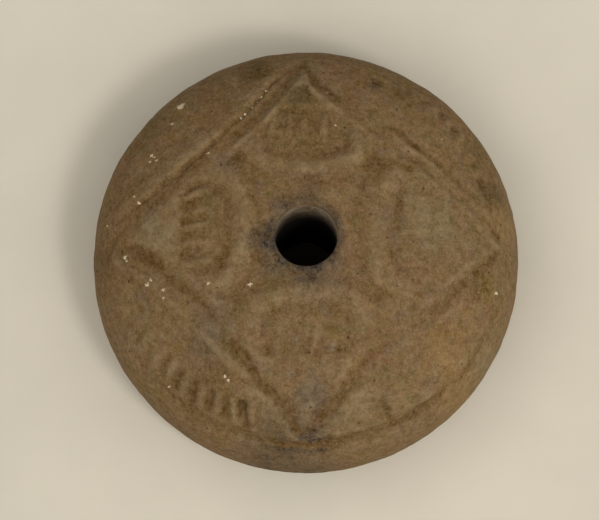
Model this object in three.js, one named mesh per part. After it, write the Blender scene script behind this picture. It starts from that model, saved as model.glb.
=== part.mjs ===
// Clay spindle whorl: a bun-shaped weight of fired clay, flat below and domed above, with a
// bore down its axis for the spindle. The crown carries moulded relief: a square set corner
// to rim inside a circle, a D-shaped petal with a comb of bars in each corner of the square,
// and a row of short teeth in each of the four segments between the square and the circle.
// Millimetres, +Z up, origin at the middle of the flat base.
import * as THREE from 'three';
import { mergeVertices } from 'three/addons/utils/BufferGeometryUtils.js';

// Body
const WHORL_RADIUS = 22;
const WAIST_HEIGHT = 5; // of the widest circle above the base
const CROWN_RISE = 13; // from the widest circle to the top
const CROWN_FULLNESS = 2.6; // 2 is an ellipse, more is squarer
const BASE_RADIUS = 18.2;
const FLANK_FULLNESS = 2.2;
const BORE_RADIUS = 3.2;
const LIP_ROUNDING = 0.6;

// Carved field: a circle, and a square whose corners touch it
const FIELD_RADIUS = 20.4;
const SQUARE_SIDE = 14.3; // from the axis to the middle of each side
const SIDE_RIDGE_HEIGHT = 0.4;
const SIDE_RIDGE_REACH = 0.85;
const SIDE_GROOVE_INSET = 1.25;
const SIDE_GROOVE_DEPTH = 0.4;
const SIDE_GROOVE_REACH = 0.75;
const FIELD_GROOVE_DEPTH = 0.35;
const FIELD_GROOVE_REACH = 0.8;

// Petals: each fills a corner of the square, under two eaves that meet at its tip
const PETAL_CENTRE_Y = 0.7; // the petals sit a little off the bore
const EAVES_SIDE = 12.5;
const EAVES_HEIGHT = 0.3;
const EAVES_REACH = 0.75;
const PETAL_HEART = 10.6; // where the D stops narrowing and its sides run straight
const PETAL_DEPTH = 5.2;
const PETAL_HALF_WIDTH = 6.7;
const PETAL_FULLNESS = 2.5;
const RIM_WIDTH = 2;
const RIM_HEIGHT = 0.5;
const PAN_DEPTH = 0.4;
const PAN_END = 13.1; // where the pan meets the plain tip
const BAR_PITCH = 1.75;
const BAR_COUNT = 7;
const BAR_START = 9.4;
const BAR_HEIGHT = 0.5;
const BAR_REACH = 0.8;
const CORNER_HOLLOW_RADIUS = 10.5; // from the petals' centre, between two petals
const CORNER_HOLLOW_REACH = 1.9;
const CORNER_HOLLOW_DEPTH = 0.3;

// Segments: a row of teeth along the rim side of each
const TEETH_INNER_RADIUS = 17.1;
const TEETH_OUTER_RADIUS = 19.9;
const TOOTH_PITCH_DEG = 6;
const TEETH_SPREAD_DEG = 22.5; // either side of the segment's middle
const TOOTH_CUT_DEPTH = 0.55;

// Facets. The rings of the carved field are drawn out towards the square, so that its ridge,
// groove and eaves run along rings, and every tooth and every cut falls on a column.
const TURN_STEPS = 120;
const RIM_STEPS = 4;
const FLANK_STEPS = 4;
const LIP_STEPS = 2;
const SQUARE_RING_RADIUS = 16; // the ring that follows the square's sides
const FIELD_ZONES = [
  { outer: 21, inner: SQUARE_RING_RADIUS, steps: 9 },
  { outer: SQUARE_RING_RADIUS, inner: 5.5, steps: 17 },
  { outer: 5.5, inner: BORE_RADIUS + LIP_ROUNDING, steps: 2 },
];
const SQUARE_CORNER_RADIUS = 19.2; // as far as a ring is drawn out into a corner

const QUARTER_TURN = Math.PI / 2;
const { smoothstep } = THREE.MathUtils;

// 1 on a line, falling smoothly to 0 at the given reach from it.
function swell(distance, reach) {
  const share = Math.min(Math.abs(distance) / reach, 1);
  return 0.5 + 0.5 * Math.cos(Math.PI * share);
}

// 1 between low and high, with soft ends of the given width.
function band(value, low, high, softness) {
  return smoothstep(value, low, low + softness) * (1 - smoothstep(value, high - softness, high));
}

// Height of the plain crown over the widest circle, for a radius.
function crownHeight(radius) {
  return CROWN_RISE * (1 - (radius / WHORL_RADIUS) ** CROWN_FULLNESS) ** (1 / CROWN_FULLNESS);
}

// Radius of the plain crown, for a height over the widest circle.
function crownRadius(height) {
  return WHORL_RADIUS * (1 - (height / CROWN_RISE) ** CROWN_FULLNESS) ** (1 / CROWN_FULLNESS);
}

// Outward direction of the plain crown at a place over it.
function crownNormal(place) {
  const radius = Math.hypot(place.x, place.y);
  const height = place.z - WAIST_HEIGHT;
  const outwards = radius ** (CROWN_FULLNESS - 1) / WHORL_RADIUS ** CROWN_FULLNESS;
  const upwards = height ** (CROWN_FULLNESS - 1) / CROWN_RISE ** CROWN_FULLNESS;
  const normal = new THREE.Vector3(place.x, place.y, 0).multiplyScalar(outwards / radius);
  return normal.setZ(upwards).normalize();
}

// Lower flank: from the edge of the base out and up to the widest circle.
function flankPoints() {
  const points = [];
  for (let i = 0; i <= FLANK_STEPS; i += 1) {
    const angle = (QUARTER_TURN * i) / FLANK_STEPS;
    const outwards = (WHORL_RADIUS - BASE_RADIUS) * Math.sin(angle) ** (2 / FLANK_FULLNESS);
    const below = WAIST_HEIGHT * Math.cos(angle) ** (2 / FLANK_FULLNESS);
    points.push(new THREE.Vector2(BASE_RADIUS + outwards, WAIST_HEIGHT - below));
  }
  return points;
}

// Crown: from just above the widest circle over the top to where the lip turns down.
function crownPoints() {
  const radii = [];
  const fieldEdgeHeight = crownHeight(FIELD_ZONES[0].outer);
  for (let i = 1; i <= RIM_STEPS; i += 1) {
    radii.push(crownRadius((fieldEdgeHeight * i) / RIM_STEPS));
  }
  for (const { outer, inner, steps } of FIELD_ZONES) {
    for (let i = 1; i <= steps; i += 1) {
      radii.push(THREE.MathUtils.lerp(outer, inner, i / steps));
    }
  }
  return radii.map((radius) => new THREE.Vector2(radius, WAIST_HEIGHT + crownHeight(radius)));
}

// Rounded lip of the bore, from the crown's last point down to the bore wall.
function lipPoints(crownEnd) {
  const points = [];
  for (let i = 1; i <= LIP_STEPS; i += 1) {
    const angle = (QUARTER_TURN * i) / LIP_STEPS;
    const radius = crownEnd.x - LIP_ROUNDING * Math.sin(angle);
    const height = crownEnd.y - LIP_ROUNDING * (1 - Math.cos(angle));
    points.push(new THREE.Vector2(radius, height));
  }
  return points;
}

// Closed outline in the half-plane: base, flank, crown, lip and bore wall.
function whorlProfile() {
  const baseInner = new THREE.Vector2(BORE_RADIUS, 0);
  const crown = crownPoints();
  const lip = lipPoints(crown[crown.length - 1]);
  return [baseInner, ...flankPoints(), ...crown, ...lip, baseInner.clone()];
}

// Ridge and groove along the square's sides, and the groove round the whole field.
function fieldRelief(side, radius) {
  const ridge = SIDE_RIDGE_HEIGHT * swell(side - SQUARE_SIDE, SIDE_RIDGE_REACH);
  const groove = SIDE_GROOVE_DEPTH * swell(side - SQUARE_SIDE + SIDE_GROOVE_INSET, SIDE_GROOVE_REACH);
  const edge = FIELD_GROOVE_DEPTH * swell(radius - FIELD_RADIUS, FIELD_GROOVE_REACH);
  const inField = 1 - smoothstep(radius, FIELD_RADIUS - 0.5, FIELD_RADIUS);
  return (ridge - groove) * inField - edge;
}

// Short teeth left between cuts, in the segments outside the square.
function teethRelief(x, y, side, radius) {
  const bearing = THREE.MathUtils.radToDeg(Math.atan2(Math.abs(y), Math.abs(x)));
  const offMiddle = bearing - 45;
  const cut = 0.5 + 0.5 * Math.cos((2 * Math.PI * (offMiddle + TOOTH_PITCH_DEG / 2)) / TOOTH_PITCH_DEG);
  const along = 1 - smoothstep(Math.abs(offMiddle), TEETH_SPREAD_DEG - 1, TEETH_SPREAD_DEG);
  const across = band(radius, TEETH_INNER_RADIUS, TEETH_OUTER_RADIUS, 0.8);
  const outside = smoothstep(side, SQUARE_SIDE + 0.3, SQUARE_SIDE + 1.1);
  return -TOOTH_CUT_DEPTH * cut * along * across * outside;
}

// How far a point lies outside a petal's D outline, measured along a ray from its heart.
// out runs from the petals' centre to the petal's tip, and across is square to it.
function outsidePetal(out, across) {
  const inward = Math.max(0, PETAL_HEART - out);
  const shareAcross = (Math.abs(across) / PETAL_HALF_WIDTH) ** PETAL_FULLNESS;
  const shareInward = (inward / PETAL_DEPTH) ** PETAL_FULLNESS;
  const reach = Math.hypot(across, inward);
  const share = Math.max((shareAcross + shareInward) ** (1 / PETAL_FULLNESS), 1e-6);
  return reach - reach / share;
}

// Raised bars of the comb, parallel to the petal's own axis.
function barRelief(out, across) {
  const nearest = Math.round(across / BAR_PITCH);
  const counted = Math.abs(nearest) <= (BAR_COUNT - 1) / 2 ? 1 : 0;
  const length = band(out, BAR_START, PAN_END + 1, 1);
  return BAR_HEIGHT * counted * swell(across - nearest * BAR_PITCH, BAR_REACH) * length;
}

// One petal: its rolled rim, the sunk pan inside it, the comb of bars and the eaves.
function petalRelief(out, across, side) {
  const outside = outsidePetal(out, across);
  const underEaves = EAVES_SIDE - side;
  const rim = RIM_HEIGHT * swell(outside + RIM_WIDTH / 2, RIM_WIDTH / 2 + 0.3);
  const sunk = smoothstep(-outside, RIM_WIDTH - 0.4, RIM_WIDTH + 0.4);
  const beforeTip = 1 - smoothstep(out, PAN_END - 0.5, PAN_END + 0.1);
  const pan = sunk * beforeTip * (barRelief(out, across) - PAN_DEPTH);
  const eaves = EAVES_HEIGHT * swell(underEaves, EAVES_REACH);
  return (rim + pan) * smoothstep(underEaves, 0, 0.9) + eaves;
}

// Hollows on the diagonals, where the field round the bore runs out between two petals.
function hollowRelief(x, y) {
  const diagonal = CORNER_HOLLOW_RADIUS / Math.SQRT2;
  const reach = Math.hypot(Math.abs(x) - diagonal, Math.abs(y) - diagonal);
  return -CORNER_HOLLOW_DEPTH * swell(reach, CORNER_HOLLOW_REACH);
}

// Height of the relief over the plain crown at a place in plan.
function reliefAt(x, y) {
  const radius = Math.hypot(x, y);
  const side = (Math.abs(x) + Math.abs(y)) / Math.SQRT2;
  const fromPetals = y - PETAL_CENTRE_Y;
  const out = Math.max(Math.abs(x), Math.abs(fromPetals));
  const across = Math.min(Math.abs(x), Math.abs(fromPetals));
  const petal = petalRelief(out, across, side);
  return fieldRelief(side, radius) + teethRelief(x, y, side, radius) + petal + hollowRelief(x, fromPetals);
}

// Radius that a ring of the field takes at a bearing, between its own circle and the square.
function drawnRadius(ring, x, y) {
  const sideAtBearing = (Math.SQRT2 * SQUARE_SIDE * Math.hypot(x, y)) / (Math.abs(x) + Math.abs(y));
  const square = Math.min(sideAtBearing, SQUARE_CORNER_RADIUS);
  if (ring > SQUARE_RING_RADIUS) {
    const { outer } = FIELD_ZONES[0];
    const share = (outer - ring) / (outer - SQUARE_RING_RADIUS);
    return THREE.MathUtils.lerp(outer, square, share);
  }
  const { inner } = FIELD_ZONES[1];
  const share = (ring - inner) / (SQUARE_RING_RADIUS - inner);
  return THREE.MathUtils.lerp(inner, square, share);
}

// Draws the field's rings out to the square and raises the relief along the crown's normal.
function carveCrown(geometry) {
  const position = geometry.getAttribute('position');
  const lipEdge = BORE_RADIUS + LIP_ROUNDING;
  const hair = 1e-4;
  for (let i = 0; i < position.count; i += 1) {
    const place = new THREE.Vector3().fromBufferAttribute(position, i);
    const ring = Math.hypot(place.x, place.y);
    if (place.z > WAIST_HEIGHT + hair && ring > lipEdge + hair) {
      if (ring > FIELD_ZONES[1].inner + hair && ring < FIELD_ZONES[0].outer - hair) {
        const drawn = drawnRadius(ring, place.x, place.y);
        place.multiplyScalar(drawn / ring).setZ(WAIST_HEIGHT + crownHeight(drawn));
      }
      place.addScaledVector(crownNormal(place), reliefAt(place.x, place.y));
      position.setXYZ(i, place.x, place.y, place.z);
    }
  }
}

function whorlGeometry() {
  const geometry = new THREE.LatheGeometry(whorlProfile(), TURN_STEPS);
  geometry.rotateX(QUARTER_TURN);
  carveCrown(geometry);
  geometry.deleteAttribute('normal');
  geometry.deleteAttribute('uv');
  const welded = mergeVertices(geometry);
  welded.computeVertexNormals();
  return welded;
}

function firedClay() {
  return new THREE.MeshStandardMaterial({ color: 0x6f583c, roughness: 0.82, metalness: 0 });
}

function clayWhorl() {
  const whorl = new THREE.Mesh(whorlGeometry(), firedClay());
  whorl.name = 'whorl';
  const group = new THREE.Group();
  group.add(whorl);
  return group;
}

export default clayWhorl();
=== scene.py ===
"""Looks of a moulded clay spindle whorl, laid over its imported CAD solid.

The whorl is a bun of fired clay with a bore for the spindle. Its crown carries a moulded
square inside a circle, a D-shaped petal with a comb of bars in each corner of the square,
and a row of teeth in each segment outside it. Sizes are in millimetres from the bore's
axis, with +X east, +Y north and +Z up. Only the finished vertices are in metres.
"""

import logging
import math
from dataclasses import dataclass, field
from enum import Enum
from itertools import product

import bpy
import numpy as np
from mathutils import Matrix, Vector


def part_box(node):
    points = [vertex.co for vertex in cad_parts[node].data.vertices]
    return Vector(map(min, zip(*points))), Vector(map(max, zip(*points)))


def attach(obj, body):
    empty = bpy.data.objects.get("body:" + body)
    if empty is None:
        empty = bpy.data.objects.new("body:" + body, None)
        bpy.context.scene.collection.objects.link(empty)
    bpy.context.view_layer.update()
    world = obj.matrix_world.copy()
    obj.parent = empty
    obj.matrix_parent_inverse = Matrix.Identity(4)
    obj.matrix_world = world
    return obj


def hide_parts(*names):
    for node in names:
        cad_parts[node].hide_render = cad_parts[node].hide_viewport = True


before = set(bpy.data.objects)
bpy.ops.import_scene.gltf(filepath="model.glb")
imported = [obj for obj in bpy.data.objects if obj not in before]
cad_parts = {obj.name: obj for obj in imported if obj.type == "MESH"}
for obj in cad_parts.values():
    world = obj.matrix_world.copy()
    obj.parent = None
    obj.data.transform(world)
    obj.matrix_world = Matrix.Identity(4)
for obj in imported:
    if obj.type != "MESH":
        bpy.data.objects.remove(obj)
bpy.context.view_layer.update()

Array = np.ndarray
Colour = tuple[float, float, float]

BODY = "root"
NODE = "whorl"
METRES_PER_MM = 0.001
MM_PER_METRE = 1000.0
HALF_DIAGONAL = math.sqrt(0.5)
EVEN_STEP = (0.050, 0.038, 0.024)

log = logging.getLogger("whorl")


# --------------------------------------------------------------------------- soft shapes


def swell(distance: Array, reach: Array | float) -> Array:
    """Gives a rounded ridge.

    Args:
        distance: distance from the ridge's line.
        reach: distance at which the ridge has died away.

    Returns:
        1 on the line, falling smoothly to 0.
    """
    share = np.clip(np.abs(distance) / reach, 0, 1)
    return 0.5 + 0.5 * np.cos(np.pi * share)


def step_up(value: Array, low: float, high: float) -> Array:
    """Gives a smooth step.

    Args:
        value: the places to judge.
        low: where the step starts.
        high: where the step is complete.

    Returns:
        0 below low and 1 above high.
    """
    share = np.clip((value - low) / (high - low), 0, 1)
    return share * share * (3 - 2 * share)


def band(value: Array, low: float, high: float, softness: float) -> Array:
    """Gives a flat band with soft ends.

    Args:
        value: the places to judge.
        low: start of the band.
        high: end of the band.
        softness: width of each soft end, inside the band.

    Returns:
        1 in the band and 0 outside it.
    """
    return step_up(value, low, low + softness) * (1 - step_up(value, high - softness, high))


class SmoothNoise:
    """Seeded smooth noise over space, between about -1 and 1."""

    CELLS = 32
    LAYER_SHIFT = (5.3, 1.7, 9.1)

    def __init__(self, seed: int) -> None:
        """Fills the lattice from the seed."""
        size = (self.CELLS,) * 3
        self.lattice = np.random.default_rng(seed).uniform(-1, 1, size)

    def at(self, places: Array, lump: float) -> Array:
        """Samples one layer of noise.

        Args:
            places: points, one a row.
            lump: size of a lump of the noise.

        Returns:
            One value for each point.
        """
        scaled = places / lump
        cell = np.floor(scaled).astype(int)
        part = scaled - cell
        ease = part**3 * (part * (part * 6 - 15) + 10)
        total = np.zeros(len(places))
        for corner in product((0, 1), repeat=3):
            weight = np.prod(np.where(corner, ease, 1 - ease), axis=1)
            at = (cell + corner) % self.CELLS
            total += weight * self.lattice[at[:, 0], at[:, 1], at[:, 2]]
        return total

    def layered(self, places: Array, lump: float, layers: int) -> Array:
        """Adds layers of noise, each half the size and half the strength of the last.

        Args:
            places: points, one a row.
            lump: size of a lump of the coarsest layer.
            layers: how many layers.

        Returns:
            One value for each point.
        """
        shift = np.array(self.LAYER_SHIFT)
        total = np.zeros(len(places))
        for layer in range(layers):
            total += self.at(places + shift * layer, lump / 2**layer) / 2**layer
        return total


# --------------------------------------------------------------------------- moulded design


@dataclass(frozen=True)
class BentLine:
    """A slightly bent line, by its distance from the axis at its start, middle and end."""

    start: float
    middle: float
    end: float

    def at(self, share: Array) -> Array:
        """Places the line.

        Args:
            share: -1 at the start, 0 in the middle and 1 at the end.

        Returns:
            The line's distance from the axis.
        """
        lean = (self.end - self.start) / 2
        bow = (self.end + self.start) / 2 - self.middle
        return self.middle + lean * share + bow * share**2


class Corner(Enum):
    """Corners of the square, by the direction from the axis."""

    EAST = (1, 0)
    NORTH = (0, 1)
    WEST = (-1, 0)
    SOUTH = (0, -1)

    def local(self, x: Array, y: Array) -> tuple[Array, Array]:
        """Turns a place into distances out to the corner and across, anticlockwise."""
        east, north = self.value
        return x * east + y * north, y * east - x * north


class Segment(Enum):
    """Segments between the square and the circle, by the signs of X and Y."""

    NORTH_EAST = (1, 1)
    NORTH_WEST = (-1, 1)
    SOUTH_WEST = (-1, -1)
    SOUTH_EAST = (1, -1)

    def local(self, x: Array, y: Array) -> tuple[Array, Array]:
        """Turns a place into distances out to the segment and along it, anticlockwise."""
        east, north = self.value
        return (x * east + y * north) * HALF_DIAGONAL, (y * east - x * north) * HALF_DIAGONAL


@dataclass(frozen=True)
class SideMoulding:
    """Groove and ridge along a side of the square, or along a part of it.

    A gap below 0 sets the ridge inside the groove.
    """

    segment: Segment
    groove: BentLine
    first: float = -14.0
    last: float = 14.0
    groove_depth: float = 0.2
    groove_reach: float = 0.5
    ridge_gap: float = 0.7
    ridge_height: float = 0.22
    ridge_reach: float = 0.6
    shoulder_reach: float = 1.8
    fade: float = 1.6

    LINE_HALF_LENGTH = 12.0

    def relief(self, x: Array, y: Array) -> Array:
        """Gives the height of the moulding over the plain crown.

        Args:
            x: east positions.
            y: north positions.

        Returns:
            Heights, negative in the groove.
        """
        side, along = self.segment.local(x, y)
        offset = side - self.groove.at(along / self.LINE_HALF_LENGTH)
        there = band(along, self.first, self.last, self.fade)
        from_crest = offset - self.ridge_gap
        beyond = from_crest * math.copysign(1.0, self.ridge_gap) > 0
        reach = np.where(beyond, self.shoulder_reach, self.ridge_reach)
        ridge = self.ridge_height * swell(from_crest, reach)
        return there * (ridge - self.groove_depth * swell(offset, self.groove_reach))


@dataclass(frozen=True)
class TeethRow:
    """Short teeth left between cuts, near the circle, each cut as deep as its wear."""

    segment: Segment
    first_cut: float
    strengths: tuple[float, ...]
    pitch: float = 6.15
    inner_radius: float = 17.5
    outer_radius: float = 20.3
    lean: float = 1.0
    height: float = 0.1
    depth: float = 0.24

    LEAN_RADIUS = 19.0
    END_SOFTNESS = 0.8
    CUT_SHARE = 0.36

    def relief(self, x: Array, y: Array) -> Array:
        """Gives the height of the teeth over the plain crown.

        Args:
            x: east positions.
            y: north positions.

        Returns:
            Heights, negative in the cuts.
        """
        side, along = self.segment.local(x, y)
        radius = np.hypot(x, y)
        off = np.degrees(np.arctan2(along, np.maximum(side, 1e-6)))
        straightened = off - self.lean * (radius - self.LEAN_RADIUS)
        row = band(radius, self.inner_radius, self.outer_radius, self.END_SOFTNESS)
        total = np.zeros(len(x))
        for number, strength in enumerate(self.strengths):
            cut = straightened - self.first_cut - number * self.pitch
            beside = np.abs(cut) - self.pitch / 2
            tooth = self.height * swell(beside, self.pitch * (0.5 - self.CUT_SHARE / 2))
            total += strength * (tooth - self.depth * swell(cut, self.pitch * self.CUT_SHARE))
        return np.where(side > 0, row * total, 0)


@dataclass(frozen=True)
class Comb:
    """The bars inside a petal, each as strong as its wear has left it.

    They run along the petal, and the first is the most clockwise.
    """

    strengths: tuple[float, ...]
    first_bar: float = -5.25
    pitch: float = 1.75
    start: float = 9.2
    end: float = 13.2
    tilt: float = 0.0
    height: float = 0.34
    reach: float = 0.58

    END_SOFTNESS = 1.2

    def relief(self, out: Array, across: Array) -> Array:
        """Gives the height of the bars over the pan.

        Args:
            out: distances out to the petal's tip.
            across: distances across the petal, anticlockwise.

        Returns:
            Heights of the bars.
        """
        middle = (self.start + self.end) / 2
        straightened = across - self.first_bar - self.tilt * (out - middle)
        length = band(out, self.start, self.end, self.END_SOFTNESS)
        bars = sum(
            strength * swell(straightened - number * self.pitch, self.reach)
            for number, strength in enumerate(self.strengths)
        )
        return self.height * bars * length


@dataclass(frozen=True)
class Petal:
    """A D-shaped petal in a corner of the square, under two eaves that meet at its tip."""

    corner: Corner
    clockwise_eaves: BentLine
    anticlockwise_eaves: BentLine
    comb: Comb
    heart: float = 10.6
    depth: float = 5.3
    half_width: float = 6.8
    shift: float = 0.0
    fullness: float = 2.5
    rim_width: float = 2.2
    rim_reach: float = 1.7
    rim_height: float = 0.32
    pan_depth: float = 0.12
    pan_end: float = 13.0
    tip_height: float = 0.08
    eaves_height: float = 0.22
    eaves_reach: float = 0.55
    eaves_drop: float = 0.12

    CENTRE_Y = 0.7
    EAVES_MIDDLE = 7.0
    EAVES_HALF_LENGTH = 6.0
    EAVES_ENDS = (-1.1, 1.3)
    EAVES_START = (0.2, 2.2)
    EAVES_JOIN = 0.6
    RIM_FADE = 2.2
    CORNER_START = (2.0, 4.0)
    PAN_EDGE = (-0.5, 0.4)
    PAN_FINISH = (-0.6, 0.3)
    SHELTER = (0.0, 0.9)
    TIP_EDGE = (-0.15, 0.55)
    DROP_BACK = 1.1
    DROP_REACH = 0.9

    def outside(self, out: Array, across: Array) -> Array:
        """Measures how far places lie outside the D.

        Args:
            out: distances out to the petal's tip.
            across: distances across the petal.

        Returns:
            Distances along rays from the petal's heart, negative inside the D.
        """
        inward = np.maximum(0, self.heart - out)
        across_share = (np.abs(across) / self.half_width) ** self.fullness
        inward_share = (inward / self.depth) ** self.fullness
        reach = np.hypot(across, inward)
        share = np.maximum((across_share + inward_share) ** (1 / self.fullness), 1e-6)
        return reach - reach / share

    def under_eaves(self, x: Array, y: Array) -> tuple[Array, Array]:
        """Measures how far places lie under the petal's own eaves.

        Args:
            x: east positions.
            y: north positions.

        Returns:
            Distances in from the nearer eaves, and how fully the eaves are there.
        """
        out, across = self.corner.local(x, y)
        side = (out + np.abs(across)) * HALF_DIAGONAL
        from_middle = (out - np.abs(across)) * HALF_DIAGONAL
        share = (from_middle - self.EAVES_MIDDLE) / self.EAVES_HALF_LENGTH
        share = np.clip(share, *self.EAVES_ENDS)
        anticlockwise = self.anticlockwise_eaves.at(share)
        clockwise = self.clockwise_eaves.at(share)
        blend = step_up(across, -self.EAVES_JOIN, self.EAVES_JOIN)
        line = anticlockwise * blend + clockwise * (1 - blend)
        return line - side, step_up(from_middle, *self.EAVES_START)

    def relief(self, x: Array, y: Array) -> Array:
        """Gives the height of the petal over the plain crown.

        Args:
            x: east positions.
            y: north positions.

        Returns:
            Heights, negative in the pan.
        """
        inside_eaves, there = self.under_eaves(x, y)
        out, across = self.corner.local(x, y - self.CENTRE_Y)
        across = across - self.shift
        outside = self.outside(out, across)
        in_corner = step_up(out, *self.CORNER_START)
        open_side = step_up(out, self.heart - self.RIM_FADE, self.heart + self.RIM_FADE)
        rim = self.rim_height * swell(outside + self.rim_width / 2, self.rim_reach)
        rim = rim * (1 - open_side)
        sunk = step_up(-outside - self.rim_width, *self.PAN_EDGE)
        before_tip = 1 - step_up(out - self.pan_end, *self.PAN_FINISH)
        pan = sunk * before_tip * (self.comb.relief(out, across) - self.pan_depth)
        sheltered = step_up(inside_eaves, *self.SHELTER)
        tip = self.tip_height * (1 - before_tip) * step_up(inside_eaves, *self.TIP_EDGE)
        eaves = self.eaves_height * swell(inside_eaves, self.eaves_reach)
        drop = self.eaves_drop * swell(inside_eaves + self.DROP_BACK, self.DROP_REACH)
        return in_corner * ((rim + pan) * sheltered + tip + there * (eaves - drop))


@dataclass(frozen=True)
class SoftForm:
    """An oval mound, or a hollow where its height is negative."""

    x: float
    y: float
    half_length: float
    half_width: float
    heading: float
    height: float

    def relief(self, x: Array, y: Array) -> Array:
        """Gives the form's height at places in plan.

        Args:
            x: east positions.
            y: north positions.

        Returns:
            Heights, 0 beyond the oval.
        """
        turn = math.radians(self.heading)
        east, north = x - self.x, y - self.y
        along = (east * math.cos(turn) + north * math.sin(turn)) / self.half_length
        across = (north * math.cos(turn) - east * math.sin(turn)) / self.half_width
        return self.height * swell(np.hypot(along, across), 1.0)


@dataclass(frozen=True)
class FieldCircle:
    """The groove that bounds the carved field, pressed deepest at one bearing."""

    radius: float = 20.4
    depth: float = 0.04
    reach: float = 0.7
    deep_bearing: float = -80.0
    deep_extra: float = 0.24

    DEEP_FADE = 3

    def relief(self, x: Array, y: Array) -> Array:
        """Gives the height of the groove.

        Args:
            x: east positions.
            y: north positions.

        Returns:
            Heights, 0 or less.
        """
        off = np.arctan2(y, x) - math.radians(self.deep_bearing)
        depth = self.depth + self.deep_extra * np.maximum(np.cos(off), 0) ** self.DEEP_FADE
        return -depth * swell(np.hypot(x, y) - self.radius, self.reach)


def side_mouldings() -> list[SideMoulding]:
    """Lists the mouldings along the four sides, each worn in its own way."""
    return [
        SideMoulding(Segment.NORTH_EAST, BentLine(16.0, 14.8, 13.2), first=-13.0, last=6.0,
                     groove_depth=0.11, groove_reach=0.7, ridge_gap=-0.75, ridge_height=0.15,
                     shoulder_reach=0.9, fade=5.0),
        SideMoulding(Segment.NORTH_WEST, BentLine(14.3, 13.98, 15.2), last=13.5,
                     groove_depth=0.2, groove_reach=0.42, ridge_gap=0.55, ridge_height=0.22,
                     fade=5.0),
        SideMoulding(Segment.SOUTH_WEST, BentLine(12.7, 12.5, 13.2), last=5.5,
                     groove_depth=0.15, groove_reach=1.0, ridge_gap=1.75, ridge_height=0.28,
                     ridge_reach=0.4, shoulder_reach=0.8),
        SideMoulding(Segment.SOUTH_WEST, BentLine(12.9, 12.4, 12.4), first=-5.0, last=1.0,
                     groove_depth=0.0, ridge_gap=0.25, ridge_height=0.14, ridge_reach=0.35,
                     shoulder_reach=0.4),
        SideMoulding(Segment.SOUTH_WEST, BentLine(13.4, 13.5, 13.9), first=4.0,
                     groove_depth=0.17, groove_reach=0.6, ridge_gap=0.65, ridge_height=0.26,
                     ridge_reach=0.4, shoulder_reach=0.7),
        SideMoulding(Segment.SOUTH_EAST, BentLine(14.2, 13.9, 14.9), last=-3.5,
                     groove_depth=0.16, groove_reach=0.75, ridge_gap=0.9, ridge_height=0.2,
                     fade=5.0),
        SideMoulding(Segment.SOUTH_EAST, BentLine(13.6, 13.6, 14.5), first=-6.0,
                     groove_depth=0.05, groove_reach=1.0, ridge_gap=1.1, ridge_height=0.06),
    ]


def teeth_rows() -> list[TeethRow]:
    """Lists the four rows of teeth, each worn in its own way."""
    return [
        TeethRow(Segment.NORTH_EAST, first_cut=-25.3, inner_radius=18.6, pitch=6.2,
                 strengths=(0.6, 0.5, 0.3, 0.7, 0.6, 0.3, 0.8), height=0.06),
        TeethRow(Segment.NORTH_WEST, first_cut=-19.0, inner_radius=18.0,
                 strengths=(0.5, 0.3, 0.1, 0.2, 0.1, 0.2)),
        TeethRow(Segment.SOUTH_WEST, first_cut=-22.0, pitch=5.9,
                 strengths=(0.25, 0.4, 0.35, 0.6, 0.9, 1.0, 1.0, 1.1, 1.2)),
        TeethRow(Segment.SOUTH_EAST, first_cut=-10.0, inner_radius=18.2,
                 strengths=(0.3, 0.2, 0.3, 0.1, 0.2, 0.4)),
    ]


def petals() -> list[Petal]:
    """Lists the four petals, each worn in its own way."""
    return [
        Petal(Corner.EAST, clockwise_eaves=BentLine(13.5, 13.3, 13.7),
              anticlockwise_eaves=BentLine(12.5, 13.5, 13.75),
              comb=Comb(strengths=(0.2, 0.3, 0.2, 0.3, 0.2, 0.4, 0.3)), rim_width=3.3,
              rim_reach=1.8, rim_height=0.27, pan_depth=0.08, half_width=7.3,
              tip_height=0.0, eaves_height=0.18),
        Petal(Corner.NORTH, clockwise_eaves=BentLine(12.6, 11.95, 11.6),
              anticlockwise_eaves=BentLine(11.9, 11.8, 12.7),
              comb=Comb(first_bar=-1.9, pitch=1.84, start=9.3, end=12.6,
                        strengths=(1.0, 0.6, 0.9, 0.5))),
        Petal(Corner.WEST, clockwise_eaves=BentLine(12.3, 12.85, 13.2),
              anticlockwise_eaves=BentLine(11.3, 11.1, 12.3),
              comb=Comb(first_bar=-3.7, tilt=0.16, strengths=(0.7, 0.3, 0.8, 0.9, 0.7, 0.5)),
              shift=-0.2, tip_height=0.2, eaves_height=0.06),
        Petal(Corner.SOUTH, clockwise_eaves=BentLine(12.3, 12.3, 12.7),
              anticlockwise_eaves=BentLine(12.3, 12.3, 12.7),
              comb=Comb(first_bar=-2.7, strengths=(0.5, 0.35, 0.5, 0.3)),
              eaves_height=0.1),
    ]


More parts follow.
